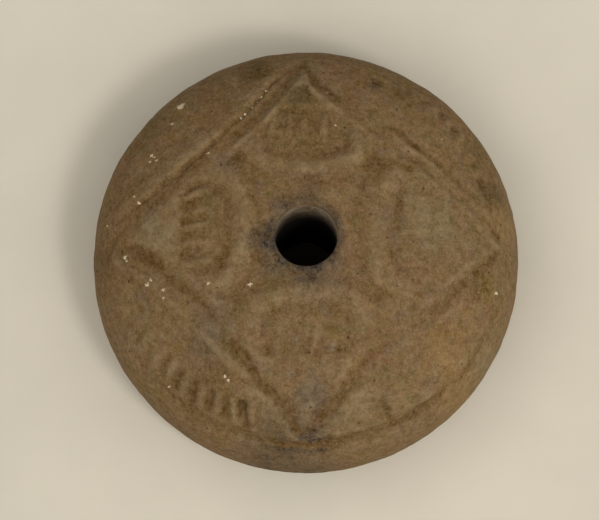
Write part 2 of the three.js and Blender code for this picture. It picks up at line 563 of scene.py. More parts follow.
def loose_forms() -> list[SoftForm]:
    """Lists hollows between the petals, end cuts of the teeth rows and plain wedges."""
    hollow, reach = 7.4, 1.9
    between = [
        SoftForm(east * hollow, north * hollow + Petal.CENTRE_Y, reach, reach, 0, -0.09)
        for east, north in (segment.value for segment in Segment)
    ]
    return between + [
        SoftForm(-6.3, -17.1, 1.5, 0.8, 70, -0.3),
        SoftForm(8.3, -17.2, 2.0, 0.9, -64, -0.34),
        SoftForm(-4.4, -17.0, 3.2, 1.9, 130, 0.14),
        SoftForm(5.2, -17.2, 3.4, 2.4, 45, 0.2),
        SoftForm(0.3, -15.6, 2.6, 1.5, 90, 0.12),
        SoftForm(-4.3, 18.1, 1.5, 1.0, 40, -0.16),
        SoftForm(-6.8, 16.0, 1.2, 0.5, -62, 0.1),
        SoftForm(7.1, 16.9, 1.2, 0.9, 0, -0.2),
        SoftForm(18.6, 5.9, 2.6, 0.9, -70, -0.26),
        SoftForm(17.5, -4.7, 2.9, 1.8, 60, -0.16),
        SoftForm(9.3, 2.4, 3.8, 0.8, 88, -0.27),
        SoftForm(10.4, 7.2, 1.1, 0.7, 20, -0.16),
    ]


@dataclass
class MouldedDesign:
    """The whole relief of the crown."""

    sides: list[SideMoulding] = field(default_factory=side_mouldings)
    teeth: list[TeethRow] = field(default_factory=teeth_rows)
    petals: list[Petal] = field(default_factory=petals)
    forms: list[SoftForm] = field(default_factory=loose_forms)
    circle: FieldCircle = field(default_factory=FieldCircle)
    seed: int = 44
    stray_lumps: tuple[float, ...] = (3.2, 1.1)
    strays: tuple[float, ...] = (0.24, 0.1)

    WAYS_ROUND = 8
    FIELD_EDGE = 0.6

    def drawn_by_hand(self, x: Array, y: Array) -> tuple[Array, Array]:
        """Strays from the ruled design, as a hand-cut mould does.

        Args:
            x: east positions.
            y: north positions.

        Returns:
            East and north positions in the ruled design.
        """
        places = np.column_stack([x, y, np.zeros(len(x))])
        east, north = SmoothNoise(self.seed), SmoothNoise(self.seed + 1)
        for lump, stray in zip(self.stray_lumps, self.strays):
            x = x + stray * east.at(places, lump)
            y = y + stray * north.at(places, lump)
        return x, y

    def relief(self, x: Array, y: Array) -> Array:
        """Gives the height of the design over the plain crown.

        Args:
            x: east positions.
            y: north positions.

        Returns:
            Heights, negative where the design is sunk.
        """
        x, y = self.drawn_by_hand(x, y)
        radius = np.hypot(x, y)
        in_field = 1 - step_up(radius - self.circle.radius, -self.FIELD_EDGE, 0)
        sides = sum(side.relief(x, y) for side in self.sides) * in_field
        teeth = sum(row.relief(x, y) for row in self.teeth)
        leaves = sum(petal.relief(x, y) for petal in self.petals) * in_field
        forms = sum(form.relief(x, y) for form in self.forms)
        return sides + teeth + leaves + forms + self.circle.relief(x, y)

    def proud(self, x: Array, y: Array, reach: float) -> Array:
        """Tells how far the design stands over its own surroundings.

        Args:
            x: east positions.
            y: north positions.
            reach: distance to the surroundings.

        Returns:
            Heights, negative where the design lies lower than what is around it.
        """
        turns = np.arange(self.WAYS_ROUND) * 2 * np.pi / self.WAYS_ROUND
        around = sum(
            self.relief(x + reach * math.cos(turn), y + reach * math.sin(turn))
            for turn in turns
        )
        return self.relief(x, y) - around / self.WAYS_ROUND


# --------------------------------------------------------------------------- wear and making


@dataclass(frozen=True)
class RubbedSpot:
    """A place where rubbing has taken more of the moulded relief."""

    x: float
    y: float
    reach: float
    loss: float

    def kept(self, places: Array) -> Array:
        """Gives the share of the relief that is left at each place."""
        distance = np.hypot(places[:, 0] - self.x, places[:, 1] - self.y)
        return 1 - self.loss * swell(distance, self.reach)


def rubbed_spots() -> list[RubbedSpot]:
    """Lists the places rubbed most."""
    return [
        RubbedSpot(6.5, 13.5, 5.5, 0.6),
        RubbedSpot(13.5, -6.5, 5.0, 0.5),
        RubbedSpot(7.0, -11.0, 5.0, 0.5),
        RubbedSpot(-7.0, -8.0, 4.0, 0.4),
    ]


@dataclass(frozen=True)
class Wear:
    """What hands and time have done to the surface: waves, rubbing and pits."""

    seed: int = 797
    wave_lump: float = 8.0
    wave_height: float = 0.07
    dent_lump: float = 2.2
    dent_height: float = 0.045
    tooth_lump: float = 0.8
    tooth_height: float = 0.02
    rubbed_lump: float = 3.0
    rubbed_share: float = 0.55
    pit_count: int = 340
    pit_radius: float = 0.21
    pit_depth: float = 0.09
    spots: list[RubbedSpot] = field(default_factory=rubbed_spots)

    PIT_SPREAD = (0.04, 0.97)
    PIT_SIZES = (0.7, 1.7)
    PIT_DEPTHS = (0.3, 1.2)

    def roughness(self, places: Array) -> Array:
        """Gives the height of the waves, dents and grain.

        Args:
            places: points on the plain body.

        Returns:
            Heights, as often sunk as raised.
        """
        waves = self.wave_height * SmoothNoise(self.seed).at(places, self.wave_lump)
        dents = self.dent_height * SmoothNoise(self.seed + 1).layered(places, self.dent_lump, 2)
        grain = self.tooth_height * SmoothNoise(self.seed + 2).layered(places, self.tooth_lump, 2)
        return waves + dents + grain

    def kept(self, places: Array) -> Array:
        """Gives the share of the moulded relief that rubbing has left.

        Args:
            places: points on the plain body.

        Returns:
            Shares around 1.
        """
        rubbing = SmoothNoise(self.seed + 3).layered(places, self.rubbed_lump, 2)
        kept = 1 + self.rubbed_share * rubbing
        for spot in self.spots:
            kept = kept * spot.kept(places)
        return kept

    def pits(self, places: Array, radius: float) -> Array:
        """Gives the depth of small pits scattered over the crown.

        Args:
            places: points on the plain body.
            radius: radius of the crown.

        Returns:
            Heights, 0 or less.
        """
        random = np.random.default_rng(self.seed)
        spread = radius * np.sqrt(random.uniform(*self.PIT_SPREAD, self.pit_count))
        bearing = random.uniform(0, 2 * np.pi, self.pit_count)
        size = self.pit_radius * random.uniform(*self.PIT_SIZES, self.pit_count)
        depth = self.pit_depth * random.uniform(*self.PIT_DEPTHS, self.pit_count)
        total = np.zeros(len(places))
        for index in range(self.pit_count):
            x = spread[index] * math.cos(bearing[index])
            y = spread[index] * math.sin(bearing[index])
            distance = np.hypot(places[:, 0] - x, places[:, 1] - y)
            total = np.minimum(total, -depth[index] * swell(distance, size[index]))
        return total


class Tint(Enum):
    """Shades that lie in patches over the clay, each held by a vertex attribute; the smoke tint
    also carries painted shade, and the ochre and ash tints painted light.
    """

    OLIVE = "olive"
    PLUM = "plum"
    RUST = "rust"
    OCHRE_AND_LIGHT = "ochre_and_light"
    ASH_AND_LIGHT = "ash_and_light"
    SMOKE = "smoke_and_shade"


@dataclass(frozen=True)
class Patch:
    """A soft-edged patch of one tint."""

    tint: Tint
    x: float
    y: float
    reach: float
    strength: float

    def mask(self, x: Array, y: Array) -> Array:
        """Gives how strongly the patch shows at places in plan."""
        return self.strength * swell(np.hypot(x - self.x, y - self.y), self.reach)


def clay_patches() -> list[Patch]:
    """Lists the patches on the crown and its rim, with painted shade on the south flank and
    painted light on the south-east rim.
    """
    return [
        Patch(Tint.ASH_AND_LIGHT, -15.2, 0.6, 3.2, 0.9),
        Patch(Tint.ASH_AND_LIGHT, 13.5, 0.8, 4.2, 0.8),
        Patch(Tint.ASH_AND_LIGHT, 11.0, 3.4, 3.6, 0.4),
        Patch(Tint.ASH_AND_LIGHT, -4.3, -17.0, 3.2, 0.5),
        Patch(Tint.ASH_AND_LIGHT, 5.0, -17.2, 3.4, 0.8),
        Patch(Tint.ASH_AND_LIGHT, -17.0, -10.0, 5.0, 0.2),
        Patch(Tint.OLIVE, -5.2, 18.1, 2.8, 1.0),
        Patch(Tint.OLIVE, -0.6, 14.6, 3.0, 1.1),
        Patch(Tint.OLIVE, 10.4, 7.2, 1.3, 0.9),
        Patch(Tint.OLIVE, -6.2, 6.0, 1.2, 0.5),
        Patch(Tint.OLIVE, 10.3, 15.8, 3.6, 0.6),
        Patch(Tint.OLIVE, 17.8, 9.0, 4.0, 0.4),
        Patch(Tint.OLIVE, 18.0, -4.2, 3.0, 0.8),
        Patch(Tint.OLIVE, -16.5, 12.5, 4.0, 0.5),
        Patch(Tint.PLUM, 1.0, -4.6, 4.4, 0.5),
        Patch(Tint.PLUM, 0.8, -16.2, 2.8, 0.9),
        Patch(Tint.PLUM, -7.9, 7.8, 2.2, 0.4),
        Patch(Tint.PLUM, -9.0, -8.1, 3.2, 0.4),
        Patch(Tint.SMOKE, -9.8, -9.6, 4.2, 0.2),
        Patch(Tint.SMOKE, 0.8, -16.4, 2.4, 0.5),
        Patch(Tint.PLUM, -10.5, -10.8, 3.8, 0.4),
        Patch(Tint.PLUM, 8.8, 0.5, 2.4, 0.5),
        Patch(Tint.RUST, -16.4, -1.7, 3.4, 0.9),
        Patch(Tint.RUST, -18.0, 4.2, 3.4, 0.9),
        Patch(Tint.RUST, -11.0, 2.0, 4.2, 0.6),
        Patch(Tint.RUST, -9.6, 14.2, 4.4, 0.5),
        Patch(Tint.RUST, 0.2, 11.0, 5.0, 0.6),
        Patch(Tint.RUST, 0.6, 4.9, 3.0, 0.6),
        Patch(Tint.RUST, -10.0, -15.6, 4.6, 0.7),
        Patch(Tint.RUST, 1.3, -20.0, 2.0, 1.2),
        Patch(Tint.RUST, -21.5, -1.0, 5.0, 0.8),
        Patch(Tint.SMOKE, -22.0, -1.0, 4.0, 0.25),
        Patch(Tint.SMOKE, -10.5, -15.0, 4.5, 0.2),
        Patch(Tint.OCHRE_AND_LIGHT, 19.6, 2.4, 3.0, 1.0),
        Patch(Tint.OCHRE_AND_LIGHT, 15.0, -11.5, 5.6, 0.8),
        # Painted light on the south-east rim, which faces the light, laid over real ochre and
        # pale patches.
        Patch(Tint.OCHRE_AND_LIGHT, 15.5, -15.5, 3.4, 0.8),
        Patch(Tint.ASH_AND_LIGHT, 18.6, -11.5, 3.4, 0.7),
        Patch(Tint.OCHRE_AND_LIGHT, 12.0, 10.0, 5.0, 0.3),
        Patch(Tint.OCHRE_AND_LIGHT, 7.4, -6.4, 4.0, 0.4),
        Patch(Tint.SMOKE, -4.4, -0.4, 2.6, 1.0),
        Patch(Tint.SMOKE, -3.2, -3.4, 2.4, 0.8),
        Patch(Tint.SMOKE, 0.3, -4.3, 2.6, 1.0),
        Patch(Tint.SMOKE, 2.9, -3.0, 1.6, 0.4),
        Patch(Tint.SMOKE, -2.4, 3.4, 2.0, 0.5),
        Patch(Tint.SMOKE, 0.4, 4.2, 2.0, 0.45),
        Patch(Tint.SMOKE, -0.2, 5.6, 2.8, 0.35),
        Patch(Tint.SMOKE, 7.1, 16.9, 1.5, 0.8),
        Patch(Tint.SMOKE, -5.0, 18.6, 2.4, 0.35),
        Patch(Tint.SMOKE, -0.8, 15.0, 2.8, 0.45),
        # Painted shade on the south flank, which faces away from the light.
        Patch(Tint.SMOKE, -2.0, -21.8, 8.0, 0.75),
        Patch(Tint.SMOKE, 18.8, 5.6, 2.2, 0.6),
        Patch(Tint.OLIVE, 18.8, 5.6, 2.4, 0.8),
        Patch(Tint.SMOKE, 1.5, -20.0, 1.8, 0.6),
    ]


# --------------------------------------------------------------------------- body and mesh


@dataclass(frozen=True)
class WhorlForm:
    """The plain bun-shaped body, without its relief."""

    radius: float
    crown_rise: float
    waist_height: float = 5.0
    crown_fullness: float = 2.6
    base_radius: float = 18.2
    flank_fullness: float = 2.2
    bore_radius: float = 3.2
    lip_rounding: float = 0.4
    foot_rounding: float = 0.4

    PROUD_RELIEF = 0.33
    DENSE_STEPS = 600

    @classmethod
    def from_box(cls, low: Vector, high: Vector) -> "WhorlForm":
        """Sizes the body from its CAD solid.

        Args:
            low: the solid's lowest corner.
            high: the solid's highest corner.

        Returns:
            The body of that width and height.
        """
        across = (high.x - low.x) * MM_PER_METRE
        height = (high.z - low.z) * MM_PER_METRE
        rise = height - cls.PROUD_RELIEF - cls.waist_height
        return cls(radius=across / 2, crown_rise=rise)

    def crown_height(self, radius: float) -> float:
        """Gives the plain crown's height over the widest circle."""
        share = 1 - (radius / self.radius) ** self.crown_fullness
        return self.crown_rise * share ** (1 / self.crown_fullness)

    def bore_line(self) -> Array:
        """Runs up the bore wall, from its rounded foot to its rounded lip."""
        lip = self.waist_height + self.crown_height(self.bore_radius + self.lip_rounding)
        return np.array([
            (self.bore_radius, self.foot_rounding),
            (self.bore_radius, lip - self.lip_rounding),
        ])

    def lip_line(self) -> Array:
        """Rounds the bore's lip over on to the crown."""
        angle = np.linspace(0, np.pi / 2, self.DENSE_STEPS)
        edge = self.bore_radius + self.lip_rounding
        top = self.waist_height + self.crown_height(edge)
        radius = edge - self.lip_rounding * np.cos(angle)
        return np.column_stack([radius, top - self.lip_rounding * (1 - np.sin(angle))])

    def crown_line(self) -> Array:
        """Runs from the lip over the crown to the widest circle."""
        edge = self.bore_radius + self.lip_rounding
        start = math.asin((edge / self.radius) ** (self.crown_fullness / 2))
        angle = np.linspace(start, np.pi / 2, self.DENSE_STEPS)
        radius = self.radius * np.sin(angle) ** (2 / self.crown_fullness)
        cosine = np.maximum(np.cos(angle), 0)
        height = self.crown_rise * cosine ** (2 / self.crown_fullness)
        return np.column_stack([radius, self.waist_height + height])

    def flank_line(self) -> Array:
        """Runs from the widest circle down and in to the edge of the base."""
        angle = np.linspace(np.pi / 2, 0, self.DENSE_STEPS)
        outwards = self.radius - self.base_radius
        cosine = np.maximum(np.cos(angle), 0)
        radius = self.base_radius + outwards * np.sin(angle) ** (2 / self.flank_fullness)
        below = self.waist_height * cosine ** (2 / self.flank_fullness)
        return np.column_stack([radius, self.waist_height - below])

    def base_line(self) -> Array:
        """Runs in over the flat base to the bore's foot."""
        foot = self.bore_radius + self.foot_rounding
        return np.array([(self.base_radius, 0.0), (foot, 0.0)])

    def foot_line(self) -> Array:
        """Rounds the base up into the bore."""
        angle = np.linspace(0, np.pi / 2, self.DENSE_STEPS)
        radius = self.bore_radius + self.foot_rounding * (1 - np.sin(angle))
        return np.column_stack([radius, self.foot_rounding * (1 - np.cos(angle))])


class Surface(Enum):
    """Parts of the whorl's skin, in order along its outline."""

    BORE = "bore"
    LIP = "lip"
    CROWN = "crown"
    FLANK = "flank"
    BASE = "base"
    FOOT = "foot"


RING_SPACING = {
    Surface.BORE: 0.34,
    Surface.LIP: 0.13,
    Surface.CROWN: 0.19,
    Surface.FLANK: 0.3,
    Surface.BASE: 0.5,
    Surface.FOOT: 0.2,
}


@dataclass
class RingSkin:
    """Rings of points round the axis, closed in order along the outline."""

    radius: Array
    height: Array
    surface: list[Surface]
    counts: Array

    @classmethod
    def wrap(cls, form: WhorlForm) -> "RingSkin":
        """Spaces rings evenly along the body's outline.

        Args:
            form: the plain body.

        Returns:
            The rings, from the bore's foot round to the bore's foot again.
        """
        lines = {
            Surface.BORE: form.bore_line(),
            Surface.LIP: form.lip_line(),
            Surface.CROWN: form.crown_line(),
            Surface.FLANK: form.flank_line(),
            Surface.BASE: form.base_line(),
            Surface.FOOT: form.foot_line(),
        }
        radii, heights, surfaces, counts = [], [], [], []
        for surface, line in lines.items():
            spacing = RING_SPACING[surface]
            length = np.append(0, np.cumsum(np.hypot(*np.diff(line, axis=0).T)))
            steps = max(2, round(length[-1] / spacing))
            stops = length[-1] * np.arange(steps) / steps
            ring_radii = np.interp(stops, length, line[:, 0])
            radii.append(ring_radii)
            heights.append(np.interp(stops, length, line[:, 1]))
            surfaces += [surface] * steps
            counts.append(np.round(2 * np.pi * ring_radii / spacing).astype(int))
        return cls(np.concatenate(radii), np.concatenate(heights), surfaces,
                   np.concatenate(counts))

    def starts(self) -> Array:
        """Gives the number of each ring's first point."""
        return np.append(0, np.cumsum(self.counts))[:-1]

    def rings(self) -> Array:
        """Gives the ring that each point belongs to."""
        return np.repeat(np.arange(len(self.counts)), self.counts)

    def places(self) -> Array:
        """Places the points on the plain body, one a row."""
        ring = self.rings()
        step = np.arange(len(ring)) - self.starts()[ring]
        bearing = 2 * np.pi * step / self.counts[ring]
        radius = self.radius[ring]
        return np.column_stack([radius * np.cos(bearing), radius * np.sin(bearing),
                                self.height[ring]])

    def outward(self, places: Array) -> Array:
        """Gives the body's outward direction at each point.

        Args:
            places: the points, as placed by places().

        Returns:
            Unit vectors, one a row.
        """
        along_radius = np.roll(self.radius, -1) - np.roll(self.radius, 1)
        along_height = np.roll(self.height, -1) - np.roll(self.height, 1)
        length = np.hypot(along_radius, along_height)
        ring = self.rings()
        radial = (-along_height / length)[ring]
        upward = (along_radius / length)[ring]
        scale = radial / self.radius[ring]
        return np.column_stack([places[:, 0] * scale, places[:, 1] * scale, upward])

    def faces(self) -> Array:
        """Joins each ring to the next with a strip of triangles.

        Returns:
            Point numbers, three a row, turned to face outwards.
        """
        starts = self.starts()
        strips = []
        for ring, near in enumerate(self.counts):
            after = (ring + 1) % len(self.counts)
            far = self.counts[after]
            step = np.arange(near)
            beside = -((near - (2 * step + 1) * far) // (2 * near)) % far
            strips.append(np.column_stack([
                starts[ring] + step,
                starts[after] + beside,
                starts[ring] + (step + 1) % near,
            ]))
            step = np.arange(far)
            beside = ((2 * step + 1) * near + far) // (2 * far) % near
            strips.append(np.column_stack([
                starts[after] + step,
                starts[after] + (step + 1) % far,
                starts[ring] + beside,
            ]))
        return np.concatenate(strips)


# --------------------------------------------------------------------------- shader wiring


class Wiring:
    """Adds nodes to one node tree and joins them."""

    def __init__(self, tree: bpy.types.NodeTree) -> None:
        """Takes the tree to work on."""
        self.tree = tree

    def add(self, kind: str, **settings: object) -> bpy.types.Node:
        """Adds a node.

        Args:
            kind: the node's type name.
            settings: properties of the node to set.

        Returns:
            The node.
        """
        node = self.tree.nodes.new(kind)
        for name, value in settings.items():
            setattr(node, name, value)
        return node

    def feed(self, socket: bpy.types.NodeSocket, value: object) -> None:
        """Joins an output to a socket, or sets the socket to a plain value.

        Args:
            socket: the input to feed.
            value: an output socket or a plain value.
        """
        if isinstance(value, bpy.types.NodeSocket):
            self.tree.links.new(value, socket)
        else:
            socket.default_value = value

    def math(self, operation: str, first: object, second: object = 0.0,
             clamp: bool = False) -> bpy.types.NodeSocket:
        """Does a sum with one or two values.

        Args:
            operation: the Math node's operation.
            first: the first value.
            second: the second value, where the operation takes one.
            clamp: whether the result is kept between 0 and 1.

        Returns:
            The result.
        """
        node = self.add("ShaderNodeMath", operation=operation, use_clamp=clamp)
        self.feed(node.inputs[0], first)
        self.feed(node.inputs[1], second)
        return node.outputs[0]

    def ramp(self, value: object, low: float, high: float, to_low: float = 0.0,
             to_high: float = 1.0) -> bpy.types.NodeSocket:
        """Maps a value smoothly from one range to another.

        Args:
            value: the value to map.
            low: start of its range.
            high: end of its range.
            to_low: result at the start.
            to_high: result at the end.

        Returns:
            The mapped value, kept inside the new range.
        """
        node = self.add("ShaderNodeMapRange", interpolation_type="SMOOTHSTEP")
        for socket, given in zip(node.inputs, (value, low, high, to_low, to_high)):
            self.feed(socket, given)
        return node.outputs["Result"]

    def mix(self, share: object, first: object, second: object) -> bpy.types.NodeSocket:
        """Mixes two colours.

        Args:
            share: how much of the second colour shows.
            first: the colour below.
            second: the colour above.

        Returns:
            The mixed colour.
        """
        node = self.add("ShaderNodeMix", data_type="RGBA")
        self.feed(node.inputs["Factor"], share)
        self.feed(node.inputs["A"], first if not isinstance(first, tuple) else (*first, 1.0))
        self.feed(node.inputs["B"], second if not isinstance(second, tuple) else (*second, 1.0))
        return next(out for out in node.outputs if out.type == "RGBA")

    def lightened(self, colour: object, amount: object) -> bpy.types.NodeSocket:
        """Lightens a colour, or darkens it where the amount is below 0.

        Args:
            colour: the colour to start from.
            amount: how many even steps of light to add.

        Returns:
            The lighter or darker colour, about as strong as it was.
        """
        step = self.add("ShaderNodeVectorMath", operation="SCALE")
        step.inputs[0].default_value = EVEN_STEP
        self.feed(step.inputs["Scale"], amount)
        total = self.add("ShaderNodeVectorMath", operation="ADD")
        self.feed(total.inputs[0], colour)
        self.feed(total.inputs[1], step.outputs["Vector"])
        return total.outputs["Vector"]

    def noise(self, place: object, lump: float, detail: float, shift: object = 0.0,
              bite: float = 0.5) -> bpy.types.NodeSocket:
        """Samples soft noise.

        Args:
            place: where, in millimetres.
            lump: size of a lump.
            detail: number of finer layers.
            shift: offset that gives another pattern.
            bite: strength of each finer layer beside the one before.

        Returns:
            Values around a half.
        """
        node = self.add("ShaderNodeTexNoise", noise_dimensions="4D")
        self.feed(node.inputs["Vector"], place)
        self.feed(node.inputs["W"], shift)
        self.feed(node.inputs["Scale"], 1.0 / lump)
        self.feed(node.inputs["Detail"], detail)
        self.feed(node.inputs["Roughness"], bite)
        return node.outputs["Fac"]

    def mask(self, name: str) -> bpy.types.NodeSocket:
        """Reads a vertex attribute as a mask."""
        return self.add("ShaderNodeAttribute", attribute_name=name).outputs["Fac"]


def new_group(name: str, takes: dict[str, str], gives: dict[str, str]
              ) -> tuple[Wiring, bpy.types.Node, bpy.types.Node]:
    """Starts a shader node group.

    Args:
        name: the group's name.
        takes: its inputs, name to socket type.
        gives: its outputs, name to socket type.

    Returns:
        Wiring for the group's tree, its input node and its output node.
    """
    tree = bpy.data.node_groups.new(name, "ShaderNodeTree")
    for socket, kind in takes.items():
        tree.interface.new_socket(name=socket, in_out="INPUT", socket_type=kind)
    for socket, kind in gives.items():
        tree.interface.new_socket(name=socket, in_out="OUTPUT", socket_type=kind)
    wiring = Wiring(tree)
    return wiring, wiring.add("NodeGroupInput"), wiring.add("NodeGroupOutput")


VALUE = "NodeSocketFloat"
VECTOR = "NodeSocketVector"


class ClayEffects:
    """Node groups that the clay finishes share, each built once."""

    CLOUDS = {"Clouds": 5.5, "Mottle": 1.5}
    CLOUD_RANGE = (0.3, 0.7)
    STAINS = {"Warm": 2.6, "Dull": 1.7, "Ruddy": 1.9, "Mossy": 2.2}
    STAIN_RANGE = (0.5, 0.66)
    STAIN_BITE = 0.7
    STAIN_SHIFT = 5.7
    GRAIN_LUMP = 0.7
    GRIT_LUMP = 0.42
    GRIT_SHIFT = 3.0
    SILT_LUMP = 0.16
    SILT_SHIFT = 6.0
    SPOT_SIZES = (0.5, 1.4)
    SPOT_EDGE = (1.15, 0.7)
    SPECK_EDGE = (1.15, 0.75)

    def __init__(self) -> None:
        """Builds every group."""
        self.mottle = self.build_mottle()
        self.grain = self.build_grain()
        self.spots = self.build_spots()
        self.speck = self.build_speck()

    @classmethod
    def build_mottle(cls) -> bpy.types.NodeTree:
        """Builds the cloudy variation of the clay, from broad clouds to fine mottle."""
        wiring, takes, gives = new_group(
            "clay_mottle",
            {"Place": VECTOR, "Shift": VALUE},
            {name: VALUE for name in (*cls.CLOUDS, *cls.STAINS, "Grains")},
        )
        place, shift = takes.outputs["Place"], takes.outputs["Shift"]
        for name, lump in cls.CLOUDS.items():
            cloud = wiring.noise(place, lump, 3.0, shift)
            wiring.feed(gives.inputs[name], wiring.ramp(cloud, *cls.CLOUD_RANGE))
        for order, (name, lump) in enumerate(cls.STAINS.items(), start=2):
            pattern = wiring.math("ADD", shift, cls.STAIN_SHIFT * order)
            stain = wiring.noise(place, lump, 4.0, pattern, bite=cls.STAIN_BITE)
            wiring.feed(gives.inputs[name], wiring.ramp(stain, *cls.STAIN_RANGE))
        grains = wiring.noise(place, cls.GRAIN_LUMP, 4.0, shift, bite=1.0)
        wiring.feed(gives.inputs["Grains"], grains)
        return wiring.tree

    @classmethod
    def build_grain(cls) -> bpy.types.NodeTree:
        """Builds the height of the clay's grain, for a Bump."""
        wiring, takes, gives = new_group(
            "clay_grain",
            {"Place": VECTOR, "Grit": VALUE, "Silt": VALUE},
            {"Height": VALUE},
        )
        place = takes.outputs["Place"]
        grit = wiring.noise(place, cls.GRIT_LUMP, 2.0, cls.GRIT_SHIFT)
        grit = wiring.math("MULTIPLY", grit, takes.outputs["Grit"])
        silt = wiring.noise(place, cls.SILT_LUMP, 2.0, cls.SILT_SHIFT)
        silt = wiring.math("MULTIPLY", silt, takes.outputs["Silt"])
        wiring.feed(gives.inputs["Height"], wiring.math("ADD", grit, silt))
        return wiring.tree

    @classmethod
    def build_spots(cls) -> bpy.types.NodeTree:
        """Builds scattered spots, in a given share of the cells of an uneven net."""
        wiring, takes, gives = new_group(
            "scattered_spots",
            {"Place": VECTOR, "Spacing": VALUE, "Radius": VALUE, "Share": VALUE},
            {"Mask": VALUE},
        )
        cells = wiring.add("ShaderNodeTexVoronoi", voronoi_dimensions="3D", feature="F1")
        wiring.feed(cells.inputs["Vector"], takes.outputs["Place"])
        spacing = takes.outputs["Spacing"]
        wiring.feed(cells.inputs["Scale"], wiring.math("DIVIDE", 1.0, spacing))
        distance = wiring.math("MULTIPLY", cells.outputs["Distance"], spacing)
        chosen = wiring.add("ShaderNodeSeparateColor")
        wiring.feed(chosen.inputs[0], cells.outputs["Color"])
        counted = wiring.math("LESS_THAN", chosen.outputs[0], takes.outputs["Share"])
        size = wiring.math("MULTIPLY", takes.outputs["Radius"],
                           wiring.ramp(chosen.outputs[1], 0.0, 1.0, *cls.SPOT_SIZES))
        inside = wiring.math("DIVIDE", distance, size)
        spot = wiring.ramp(inside, *cls.SPOT_EDGE)
        wiring.feed(gives.inputs["Mask"], wiring.math("MULTIPLY", spot, counted))
        return wiring.tree

    @classmethod
    def build_speck(cls) -> bpy.types.NodeTree:
        """Builds one ragged speck at a given place, joined to the specks before it."""
        wiring, takes, gives = new_group(
            "one_speck",
            {"Place": VECTOR, "Centre": VECTOR, "Radius": VALUE, "Before": VALUE},
            {"Mask": VALUE},
        )
        apart = wiring.add("ShaderNodeVectorMath", operation="DISTANCE")
        wiring.feed(apart.inputs[0], takes.outputs["Place"])
        wiring.feed(apart.inputs[1], takes.outputs["Centre"])
        share = wiring.math("DIVIDE", apart.outputs["Value"], takes.outputs["Radius"])
        speck = wiring.ramp(share, *cls.SPECK_EDGE)
        wiring.feed(gives.inputs["Mask"], wiring.math("MAXIMUM", speck, takes.outputs["Before"]))
        return wiring.tree


# --------------------------------------------------------------------------- finishes


@dataclass(frozen=True)
class Speck:
    """A pale speck of grit or lime on the crown, placed in plan."""

    x: float
    y: float
    radius: float


def pale_specks() -> list[Speck]:
    """Lists the pale specks of the crown."""
    return [
        Speck(-12.97, 14.73, 0.32),
        Speck(-12.7, 14.97, 0.22),
        Speck(-13.75, 12.68, 0.14),
        Speck(-15.8, 9.25, 0.17),
        Speck(-15.95, 8.55, 0.12),
        Speck(-15.3, 8.6, 0.15),
        Speck(-15.55, 9.0, 0.1),
        Speck(-9.97, 8.86, 0.12),
        Speck(-17.05, 4.1, 0.14),
        Speck(-17.57, 4.95, 0.09),
        Speck(-20.4, 2.4, 0.12),
        Speck(-18.43, -1.4, 0.18),
        Speck(-18.3, -1.8, 0.13),
        Speck(-16.15, -4.6, 0.18),
        Speck(-15.75, -4.15, 0.15),
        Speck(-14.45, -5.25, 0.15),
        Speck(-14.5, -6.1, 0.1),
        Speck(-9.88, -4.95, 0.12),
        Speck(-5.64, -5.08, 0.19),
        Speck(2.96, 11.7, 0.12),
        Speck(19.4, -4.8, 0.16),
        Speck(-6.63, 12.65, 0.12),
        Speck(-6.2, 13.1, 0.12),
        Speck(-5.5, 13.86, 0.09),
        Speck(-5.0, 14.5, 0.07),
        Speck(-4.5, 15.1, 0.09),
        Speck(-4.1, 15.8, 0.12),
        Speck(-8.2, -14.1, 0.14),
        Speck(-7.85, -14.5, 0.1),
        Speck(-13.9, -14.5, 0.1),
    ]


@dataclass(frozen=True)
class Grit:
    """Scattered spots of one shade, in a share of the cells of an uneven net."""

    shade: Colour
    spacing: float
    radius: float
    share: float
    strength: float


